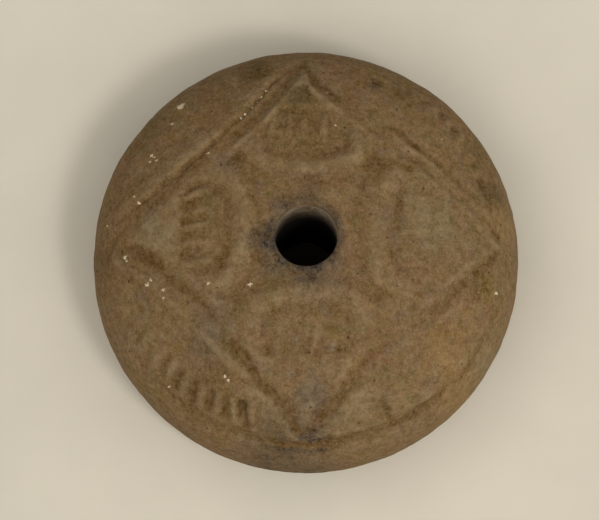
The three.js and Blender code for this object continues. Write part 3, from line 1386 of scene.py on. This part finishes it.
@dataclass(frozen=True)
class ClayFinish:
    """Fired clay: the shades of its body and stains, dirt and painted shade in its hollows,
    rubbed crests with a painted highlight, painted shade down the bore, and its grain.
    """

    name: str
    body: Colour = (0.160, 0.1035, 0.0460)
    second: Colour = (0.168, 0.1020, 0.0490)
    warm: Colour = (0.168, 0.1010, 0.0340)
    dull: Colour = (0.148, 0.1030, 0.0630)
    ruddy: Colour = (0.166, 0.0910, 0.0400)
    mossy: Colour = (0.140, 0.1040, 0.0400)
    # Dirt in the hollows, darkened further as painted shade where the design lies low.
    hollow: Colour = (0.106, 0.060, 0.021)
    # Rubbed clay on the crests, lightened further as a painted highlight.
    crest_wear_and_highlight: Colour = (0.196, 0.136, 0.070)
    olive: Colour = (0.102, 0.064, 0.013)
    plum: Colour = (0.124, 0.094, 0.066)
    rust: Colour = (0.138, 0.080, 0.030)
    # Ochre and ash patches; both also lie as painted light on the south-east rim.
    ochre_and_light: Colour = (0.198, 0.125, 0.052)
    ash_and_light: Colour = (0.186, 0.142, 0.077)
    # Smoke stains; the same shade also lies as painted shade on the south flank.
    smoke_and_shade: Colour = (0.054, 0.041, 0.030)
    # Near-black painted shade laid down the bore, deeper below the lip.
    bore_shade: Colour = (0.012, 0.009, 0.007)
    speck: Colour = (0.52, 0.44, 0.30)
    pale_grit: Colour = (0.30, 0.24, 0.16)
    red_grit: Colour = (0.16, 0.058, 0.023)
    dark_grit: Colour = (0.045, 0.028, 0.016)
    roughness: float = 0.82
    specular: float = 0.10
    grit_height: float = 0.045
    silt_height: float = 0.024
    grain_contrast: float = 8.0
    stain_share: float = 0.75
    pattern_shift: float = 0.0
    # Whether the finish takes the painted shade down the bore.
    bore_shaded: bool = False
    specked: bool = False

    HOLLOW_SHARE = 0.9
    CREST_SHARE = 0.65
    CREST_POLISH = -0.08
    UNEVEN_ROUGHNESS = 0.06
    MOTTLE_STEPS = (-0.18, 0.18)
    BREAKS = (0.6, 1.2)
    RAGGED_SCALE = 5.0
    RAGGED_REACH = 0.6

    def build(self, effects: ClayEffects) -> bpy.types.Material:
        """Builds the material.

        Args:
            effects: the shared node groups.

        Returns:
            The material.
        """
        material = bpy.data.materials.new(self.name)
        material.use_nodes = True
        material.node_tree.nodes.clear()
        wiring = Wiring(material.node_tree)
        place = self.place(wiring)
        mottle = wiring.add("ShaderNodeGroup", node_tree=effects.mottle)
        wiring.feed(mottle.inputs["Place"], place)
        wiring.feed(mottle.inputs["Shift"], self.pattern_shift)
        colour = self.clay_colour(wiring, mottle)
        colour = self.spotted(wiring, effects, place, colour)
        # Paints shade down the bore, darker with depth below the lip.
        if self.bore_shaded:
            colour = wiring.mix(wiring.mask("bore_shade"), colour, self.bore_shade)
        shader = wiring.add("ShaderNodeBsdfPrincipled")
        wiring.feed(shader.inputs["Base Color"], colour)
        polish = wiring.math("MULTIPLY", wiring.mask("crest_wear_and_highlight"), self.CREST_POLISH)
        uneven = wiring.math("MULTIPLY", mottle.outputs["Mottle"], self.UNEVEN_ROUGHNESS)
        rough = wiring.math("ADD", wiring.math("ADD", self.roughness, uneven), polish)
        wiring.feed(shader.inputs["Roughness"], rough)
        shader.inputs["Specular IOR Level"].default_value = self.specular
        wiring.feed(shader.inputs["Normal"], self.grain(wiring, effects, place))
        output = wiring.add("ShaderNodeOutputMaterial")
        wiring.feed(output.inputs["Surface"], shader.outputs["BSDF"])
        return material

    @staticmethod
    def place(wiring: Wiring) -> bpy.types.NodeSocket:
        """Reads the place on the whorl, in millimetres.

        Args:
            wiring: the material's wiring.

        Returns:
            The place.
        """
        coordinates = wiring.add("ShaderNodeTexCoord")
        scale = wiring.add("ShaderNodeVectorMath", operation="SCALE")
        wiring.feed(scale.inputs[0], coordinates.outputs["Object"])
        scale.inputs["Scale"].default_value = MM_PER_METRE
        return scale.outputs["Vector"]

    def clay_colour(self, wiring: Wiring, mottle: bpy.types.Node) -> bpy.types.NodeSocket:
        """Mixes the clay's broad shades, with dirt and painted shade in hollows and a painted
        highlight on rubbed crests.

        Args:
            wiring: the material's wiring.
            mottle: the mottle group's node.

        Returns:
            The colour before spots.
        """
        medium = mottle.outputs["Mottle"]
        colour = wiring.mix(mottle.outputs["Clouds"], self.body, self.second)
        stains = zip(ClayEffects.STAINS, (self.warm, self.dull, self.ruddy, self.mossy))
        for stain, shade in stains:
            share = wiring.math("MULTIPLY", mottle.outputs[stain], self.stain_share)
            colour = wiring.mix(share, colour, shade)
        breaks = wiring.math("MULTIPLY", wiring.ramp(medium, 0.0, 1.0, *self.BREAKS),
                             wiring.ramp(mottle.outputs["Clouds"], 0.0, 1.0, *self.BREAKS))
        for mask, most, shade in (
            (Tint.RUST.value, 1.0, self.rust),
            (Tint.OCHRE_AND_LIGHT.value, 1.0, self.ochre_and_light),
            (Tint.OLIVE.value, 1.0, self.olive),
            (Tint.PLUM.value, 1.0, self.plum),
            (Tint.ASH_AND_LIGHT.value, 1.0, self.ash_and_light),
            (Tint.SMOKE.value, 1.0, self.smoke_and_shade),
            # Dirt with painted shade in the hollows, rubbed clay with a painted highlight on the
            # crests.
            ("hollow", self.HOLLOW_SHARE, self.hollow),
            ("crest_wear_and_highlight", self.CREST_SHARE, self.crest_wear_and_highlight),
        ):
            strength = wiring.math("MULTIPLY", wiring.mask(mask), most)
            share = wiring.math("MULTIPLY", strength, breaks, clamp=True)
            colour = wiring.mix(share, colour, shade)
        colour = wiring.lightened(colour, wiring.ramp(medium, 0.0, 1.0, *self.MOTTLE_STEPS))
        grains = wiring.math("SUBTRACT", mottle.outputs["Grains"], 0.5)
        return wiring.lightened(colour, wiring.math("MULTIPLY", grains, self.grain_contrast))

    def grits(self) -> list[Grit]:
        """Lists the grit in the clay, from the lowest layer up."""
        return [
            Grit(self.red_grit, spacing=1.5, radius=0.14, share=0.14, strength=0.5),
            Grit(self.dark_grit, spacing=1.3, radius=0.11, share=0.4, strength=0.85),
            Grit(self.dark_grit, spacing=0.6, radius=0.07, share=0.4, strength=0.5),
            Grit(self.pale_grit, spacing=0.5, radius=0.06, share=0.45, strength=0.45),
            Grit(self.speck, spacing=2.3, radius=0.075, share=0.12, strength=0.5),
        ]

    def spotted(self, wiring: Wiring, effects: ClayEffects, place: bpy.types.NodeSocket,
                colour: bpy.types.NodeSocket) -> bpy.types.NodeSocket:
        """Adds red and dark grit and the pale specks.

        Args:
            wiring: the material's wiring.
            effects: the shared node groups.
            place: the place, in millimetres.
            colour: the colour under the spots.

        Returns:
            The colour with its spots.
        """
        for grit in self.grits():
            spots = wiring.add("ShaderNodeGroup", node_tree=effects.spots)
            given = (place, grit.spacing, grit.radius, grit.share)
            for socket, value in zip(spots.inputs, given):
                wiring.feed(socket, value)
            share_shown = wiring.math("MULTIPLY", spots.outputs["Mask"], grit.strength)
            colour = wiring.mix(share_shown, colour, grit.shade)
        if not self.specked:
            return colour
        ragged = self.ragged_place(wiring, place)
        mask: object = 0.0
        for speck in pale_specks():
            node = wiring.add("ShaderNodeGroup", node_tree=effects.speck)
            centre = (speck.x, speck.y, 0.0)
            for socket, value in zip(node.inputs, (ragged, centre, speck.radius, mask)):
                wiring.feed(socket, value)
            mask = node.outputs["Mask"]
        return wiring.mix(mask, colour, self.speck)

    @classmethod
    def ragged_place(cls, wiring: Wiring, place: bpy.types.NodeSocket) -> bpy.types.NodeSocket:
        """Flattens the place to plan and shakes it a little, so that specks are ragged.

        Args:
            wiring: the material's wiring.
            place: the place, in millimetres.

        Returns:
            The shaken place in plan.
        """
        shake = wiring.add("ShaderNodeTexNoise")
        wiring.feed(shake.inputs["Vector"], place)
        shake.inputs["Scale"].default_value = cls.RAGGED_SCALE
        centred = wiring.add("ShaderNodeVectorMath", operation="SUBTRACT")
        wiring.feed(centred.inputs[0], shake.outputs["Color"])
        centred.inputs[1].default_value = (0.5, 0.5, 0.5)
        small = wiring.add("ShaderNodeVectorMath", operation="SCALE")
        wiring.feed(small.inputs[0], centred.outputs["Vector"])
        small.inputs["Scale"].default_value = cls.RAGGED_REACH
        moved = wiring.add("ShaderNodeVectorMath", operation="ADD")
        wiring.feed(moved.inputs[0], place)
        wiring.feed(moved.inputs[1], small.outputs["Vector"])
        flat = wiring.add("ShaderNodeVectorMath", operation="MULTIPLY")
        wiring.feed(flat.inputs[0], moved.outputs["Vector"])
        flat.inputs[1].default_value = (1.0, 1.0, 0.0)
        return flat.outputs["Vector"]

    def grain(self, wiring: Wiring, effects: ClayEffects,
              place: bpy.types.NodeSocket) -> bpy.types.NodeSocket:
        """Builds the grain's normal.

        Args:
            wiring: the material's wiring.
            effects: the shared node groups.
            place: the place, in millimetres.

        Returns:
            The normal.
        """
        grain = wiring.add("ShaderNodeGroup", node_tree=effects.grain)
        for socket, value in zip(grain.inputs, (place, self.grit_height, self.silt_height)):
            wiring.feed(socket, value)
        bump = wiring.add("ShaderNodeBump")
        bump.inputs["Distance"].default_value = METRES_PER_MM
        wiring.feed(bump.inputs["Height"], grain.outputs["Height"])
        return bump.outputs["Normal"]


# --------------------------------------------------------------------------- the whorl


@dataclass
class Whorl:
    """The spindle whorl: body, moulded design, wear and clay finishes."""

    form: WhorlForm
    design: MouldedDesign = field(default_factory=MouldedDesign)
    wear: Wear = field(default_factory=Wear)
    patches: list[Patch] = field(default_factory=clay_patches)
    shelter_reaches: tuple[float, ...] = (0.5, 1.0, 1.8)
    full_shade: float = 0.4
    # Depths below the lip over which the painted shade in the bore comes in.
    bore_shade_depths: tuple[float, float] = (0.3, 6.8)
    lip_ring: tuple[float, float] = (3.6, 4.3)
    lip_smoke: float = 0.6

    BORE_ROUGHNESS = 0.5
    PIT_SHADE = 2.0

    def shaped(self, skin: RingSkin) -> tuple[Array, dict[str, Array]]:
        """Moves the skin's points to the finished surface.

        Args:
            skin: the rings round the plain body.

        Returns:
            The finished points in millimetres, and masks for the finishes by name.
        """
        places = skin.places()
        outward = skin.outward(places)
        ring = skin.rings()
        carved = np.array([s is Surface.CROWN for s in skin.surface])[ring]
        under = np.array([s in (Surface.BASE, Surface.FOOT) for s in skin.surface])[ring]
        inside = np.array([s in (Surface.BORE, Surface.LIP) for s in skin.surface])[ring]
        x, y = places[:, 0], places[:, 1]
        kept = np.where(carved, self.wear.kept(places), 0)
        design = self.design.relief(x, y) * kept
        pits = np.where(carved, self.wear.pits(places, self.form.radius), 0)
        rough = self.wear.roughness(places)
        rough = np.where(under, -np.abs(rough), rough) * np.where(inside, self.BORE_ROUGHNESS, 1)
        finished = places + outward * (design + pits + rough)[:, None]
        finished[:, 2] = np.maximum(finished[:, 2], 0)
        proud = sum(self.design.proud(x, y, reach) for reach in self.shelter_reaches) * kept
        walls = np.array([s is Surface.BORE for s in skin.surface])[ring]
        # Pits count as low places, so they take the hollows' dirt and painted shade.
        return finished, self.masks(places, proud + self.PIT_SHADE * pits, ~(under | walls))

    def masks(self, places: Array, proud: Array, outer: Array) -> dict[str, Array]:
        """Works out where each tint lies, where hollows take dirt and painted shade, where rubbed
        crests take a painted highlight, and where painted shade darkens the bore.

        Args:
            places: points on the plain body.
            proud: how far each point stands over its own surroundings.
            outer: whether each point lies outside the bore and above the base.

        Returns:
            Masks from 0 to 1, by attribute name.
        """
        x, y = places[:, 0], places[:, 1]
        masks = {tint.value: np.zeros(len(places)) for tint in Tint}
        for patch in self.patches:
            masks[patch.tint.value] += patch.mask(x, y) * outer
        # Hollows take dirt and painted shade, and crests take rubbed clay and a painted
        # highlight, by how far the design stands proud.
        masks["hollow"] = step_up(-proud, 0.0, self.full_shade)
        masks["crest_wear_and_highlight"] = step_up(proud, 0.0, self.full_shade)
        ring = 1 - step_up(np.hypot(x, y), *self.lip_ring)
        masks[Tint.SMOKE.value] += self.lip_smoke * ring * outer
        top = self.form.waist_height + self.form.crown_height(self.form.bore_radius)
        in_bore = np.hypot(x, y) < self.form.bore_radius + self.form.lip_rounding
        # Painted shade in the bore, growing with depth below the lip.
        masks["bore_shade"] = np.where(in_bore, step_up(top - places[:, 2], *self.bore_shade_depths), 0)
        return {name: np.clip(mask, 0, 1) for name, mask in masks.items()}

    def build(self, effects: ClayEffects) -> bpy.types.Object:
        """Builds the whorl's mesh and dresses it.

        Args:
            effects: the shared node groups.

        Returns:
            The whorl's object.
        """
        skin = RingSkin.wrap(self.form)
        points, masks = self.shaped(skin)
        mesh = bpy.data.meshes.new("whorl_clay")
        mesh.from_pydata((points * METRES_PER_MM).tolist(), [], skin.faces().tolist())
        mesh.polygons.foreach_set("use_smooth", np.ones(len(mesh.polygons), bool))
        for name, mask in masks.items():
            layer = mesh.attributes.new(name, "FLOAT", "POINT")
            layer.data.foreach_set("value", mask.astype(np.float32))
        finishes = [
            ClayFinish("worn_clay", specked=True, bore_shaded=True),
            ClayFinish("bore_clay", bore_shaded=True, pattern_shift=4.0, body=(0.30, 0.24, 0.165),
                       second=(0.27, 0.22, 0.155)),
            ClayFinish("base_clay", pattern_shift=8.0, grit_height=0.02),
        ]
        for finish in finishes:
            mesh.materials.append(finish.build(effects))
        mesh.polygons.foreach_set("material_index", self.face_finishes(skin))
        mesh.update()
        whorl = bpy.data.objects.new("whorl_clay", mesh)
        bpy.context.collection.objects.link(whorl)
        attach(whorl, BODY)
        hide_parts(NODE)
        return whorl

    @staticmethod
    def face_finishes(skin: RingSkin) -> Array:
        """Picks the finish of each face: 0 worn clay, 1 in the bore, 2 on the base.

        Args:
            skin: the rings round the plain body.

        Returns:
            One finish number for each face.
        """
        finish = {Surface.BORE: 1, Surface.BASE: 2, Surface.FOOT: 2}
        numbers = []
        for ring, surface in enumerate(skin.surface):
            after = skin.counts[(ring + 1) % len(skin.counts)]
            numbers += [finish.get(surface, 0)] * int(skin.counts[ring] + after)
        return np.array(numbers, dtype=np.int32)


# --------------------------------------------------------------------------- studio


@dataclass(frozen=True)
class SoftLamp:
    """A large square lamp aimed at the middle of the table."""

    name: str
    bearing: float
    elevation: float
    distance: float
    size: float
    power: float
    colour: Colour = (1.0, 0.97, 0.92)

    def build(self) -> None:
        """Hangs the lamp."""
        lamp = bpy.data.lights.new(self.name, "AREA")
        lamp.size = self.size
        lamp.energy = self.power
        lamp.color = self.colour
        bearing, elevation = math.radians(self.bearing), math.radians(self.elevation)
        direction = Vector((math.cos(bearing) * math.cos(elevation),
                            math.sin(bearing) * math.cos(elevation), math.sin(elevation)))
        holder = bpy.data.objects.new(self.name, lamp)
        holder.location = direction * self.distance
        holder.rotation_mode = "QUATERNION"
        holder.rotation_quaternion = (-direction).to_track_quat("-Z", "Y")
        bpy.context.collection.objects.link(holder)


@dataclass(frozen=True)
class SoftWindow:
    """A stretch of bright sky, fading out to either side of its bearing."""

    bearing: float
    low: float
    high: float
    strength: float

    SOFTNESS = 0.06
    OVERHEAD_LIMIT = 1.001

    def light(self, wiring: Wiring, parts: bpy.types.Node) -> bpy.types.NodeSocket:
        """Gives the window's light from each direction.

        Args:
            wiring: the world's wiring.
            parts: node that gives the direction's X, Y and Z.

        Returns:
            The light's strength.
        """
        turn = math.radians(self.bearing)
        east = wiring.math("MULTIPLY", parts.outputs["X"], math.cos(turn))
        north = wiring.math("MULTIPLY", parts.outputs["Y"], math.sin(turn))
        upward = parts.outputs["Z"]
        level = wiring.math("SUBTRACT", self.OVERHEAD_LIMIT,
                            wiring.math("MULTIPLY", upward, upward))
        toward = wiring.math("MAXIMUM", wiring.math("ADD", east, north), 0.0)
        fading = wiring.math("DIVIDE", wiring.math("MULTIPLY", toward, toward), level)
        low, high = math.sin(math.radians(self.low)), math.sin(math.radians(self.high))
        above = wiring.ramp(upward, low - self.SOFTNESS, low + self.SOFTNESS)
        below = wiring.ramp(upward, high - self.SOFTNESS, high + self.SOFTNESS, 1.0, 0.0)
        seen = wiring.math("MULTIPLY", wiring.math("MULTIPLY", above, below), fading)
        return wiring.math("MULTIPLY", seen, self.strength)


@dataclass
class Studio:
    """A pale table, soft light mostly from the south and west, and a camera looking down."""

    centre: Vector
    floor_size: float = 1.6
    floor_gap: float = 0.00002
    paper: Colour = (0.63, 0.588, 0.497)
    paper_roughness: float = 0.9
    paper_specular: float = 0.2
    blotch_size: float = 9.0
    blotch_shade: float = 0.96
    sky: Colour = (1.0, 0.965, 0.91)
    view_elevation: float = 77.0
    view_distance: float = 0.45
    view_east: float = -0.665
    view_up: float = 0.333
    lens: float = 260.2
    near_limit: float = 0.01
    windows: tuple[SoftWindow, ...] = (
        SoftWindow(bearing=0, low=3, high=25, strength=2.7),
        SoftWindow(bearing=180, low=3, high=25, strength=1.3),
        SoftWindow(bearing=-90, low=25, high=45, strength=1.8),
        SoftWindow(bearing=0, low=45, high=66, strength=0.95),
        SoftWindow(bearing=90, low=45, high=66, strength=1.05),
        SoftWindow(bearing=180, low=45, high=66, strength=2.15),
        SoftWindow(bearing=-90, low=45, high=66, strength=2.25),
    )
    lamps: tuple[SoftLamp, ...] = (
        SoftLamp("key_lamp", bearing=-48, elevation=57, distance=1.1, size=0.2, power=3.2),
    )

    def build(self) -> None:
        """Sets the whole studio up."""
        self.lay_floor()
        for lamp in self.lamps:
            lamp.build()
        self.light_sky()
        self.place_camera()

    def lay_floor(self) -> None:
        """Lays the pale table top."""
        half = self.floor_size / 2
        corners = [(x, y, -self.floor_gap) for x, y in
                   ((-half, -half), (half, -half), (half, half), (-half, half))]
        mesh = bpy.data.meshes.new("table_top")
        mesh.from_pydata(corners, [], [(0, 1, 2, 3)])
        material = bpy.data.materials.new("pale_paper")
        material.use_nodes = True
        shader = material.node_tree.nodes["Principled BSDF"]
        wiring = Wiring(material.node_tree)
        place = ClayFinish.place(wiring)
        blotches = wiring.noise(place, self.blotch_size, 4.0)
        shade = wiring.mix(wiring.ramp(blotches, *ClayEffects.CLOUD_RANGE), self.paper,
                           tuple(channel * self.blotch_shade for channel in self.paper))
        wiring.feed(shader.inputs["Base Color"], shade)
        shader.inputs["Roughness"].default_value = self.paper_roughness
        shader.inputs["Specular IOR Level"].default_value = self.paper_specular
        mesh.materials.append(material)
        floor = bpy.data.objects.new("table_top", mesh)
        bpy.context.collection.objects.link(floor)

    def light_sky(self) -> None:
        """Lights the room through its windows, and not from straight above."""
        world = bpy.data.worlds.new("studio")
        world.use_nodes = True
        background = world.node_tree.nodes["Background"]
        background.inputs["Color"].default_value = (*self.sky, 1.0)
        wiring = Wiring(world.node_tree)
        direction = wiring.add("ShaderNodeTexCoord").outputs["Generated"]
        parts = wiring.add("ShaderNodeSeparateXYZ")
        wiring.feed(parts.inputs["Vector"], direction)
        total: object = 0.0
        for window in self.windows:
            total = wiring.math("ADD", total, window.light(wiring, parts))
        wiring.feed(background.inputs["Strength"], total)
        bpy.context.scene.world = world

    def place_camera(self) -> None:
        """Points the camera down at the whorl from the south."""
        camera = bpy.data.cameras.new("camera")
        camera.lens = self.lens
        camera.clip_start = self.near_limit
        holder = bpy.data.objects.new("camera", camera)
        tilt = math.radians(90 - self.view_elevation)
        back = Vector((0, -math.sin(tilt), math.cos(tilt)))
        up = Vector((0, math.cos(tilt), math.sin(tilt)))
        aim = self.centre + Vector((1, 0, 0)) * self.view_east * METRES_PER_MM
        aim += up * self.view_up * METRES_PER_MM
        holder.location = aim + back * self.view_distance
        holder.rotation_euler = (tilt, 0, 0)
        bpy.context.collection.objects.link(holder)
        bpy.context.scene.camera = holder
        bpy.context.scene.view_settings.view_transform = "Standard"


def main() -> None:
    """Builds the whorl and the studio, and reports each piece."""
    logging.basicConfig(level=logging.INFO, format="%(name)s: %(message)s")
    low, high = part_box(NODE)
    form = WhorlForm.from_box(low, high)
    log.info("body %.2f mm across, crown rise %.2f mm", form.radius * 2, form.crown_rise)
    whorl = Whorl(form).build(ClayEffects())
    log.info("%s: %d triangles", whorl.name, len(whorl.data.polygons))
    waist = Vector(((low.x + high.x) / 2, (low.y + high.y) / 2,
                    low.z + form.waist_height * METRES_PER_MM))
    Studio(centre=waist).build()
    log.info("studio ready")


if __name__ == "__main__":
    main()
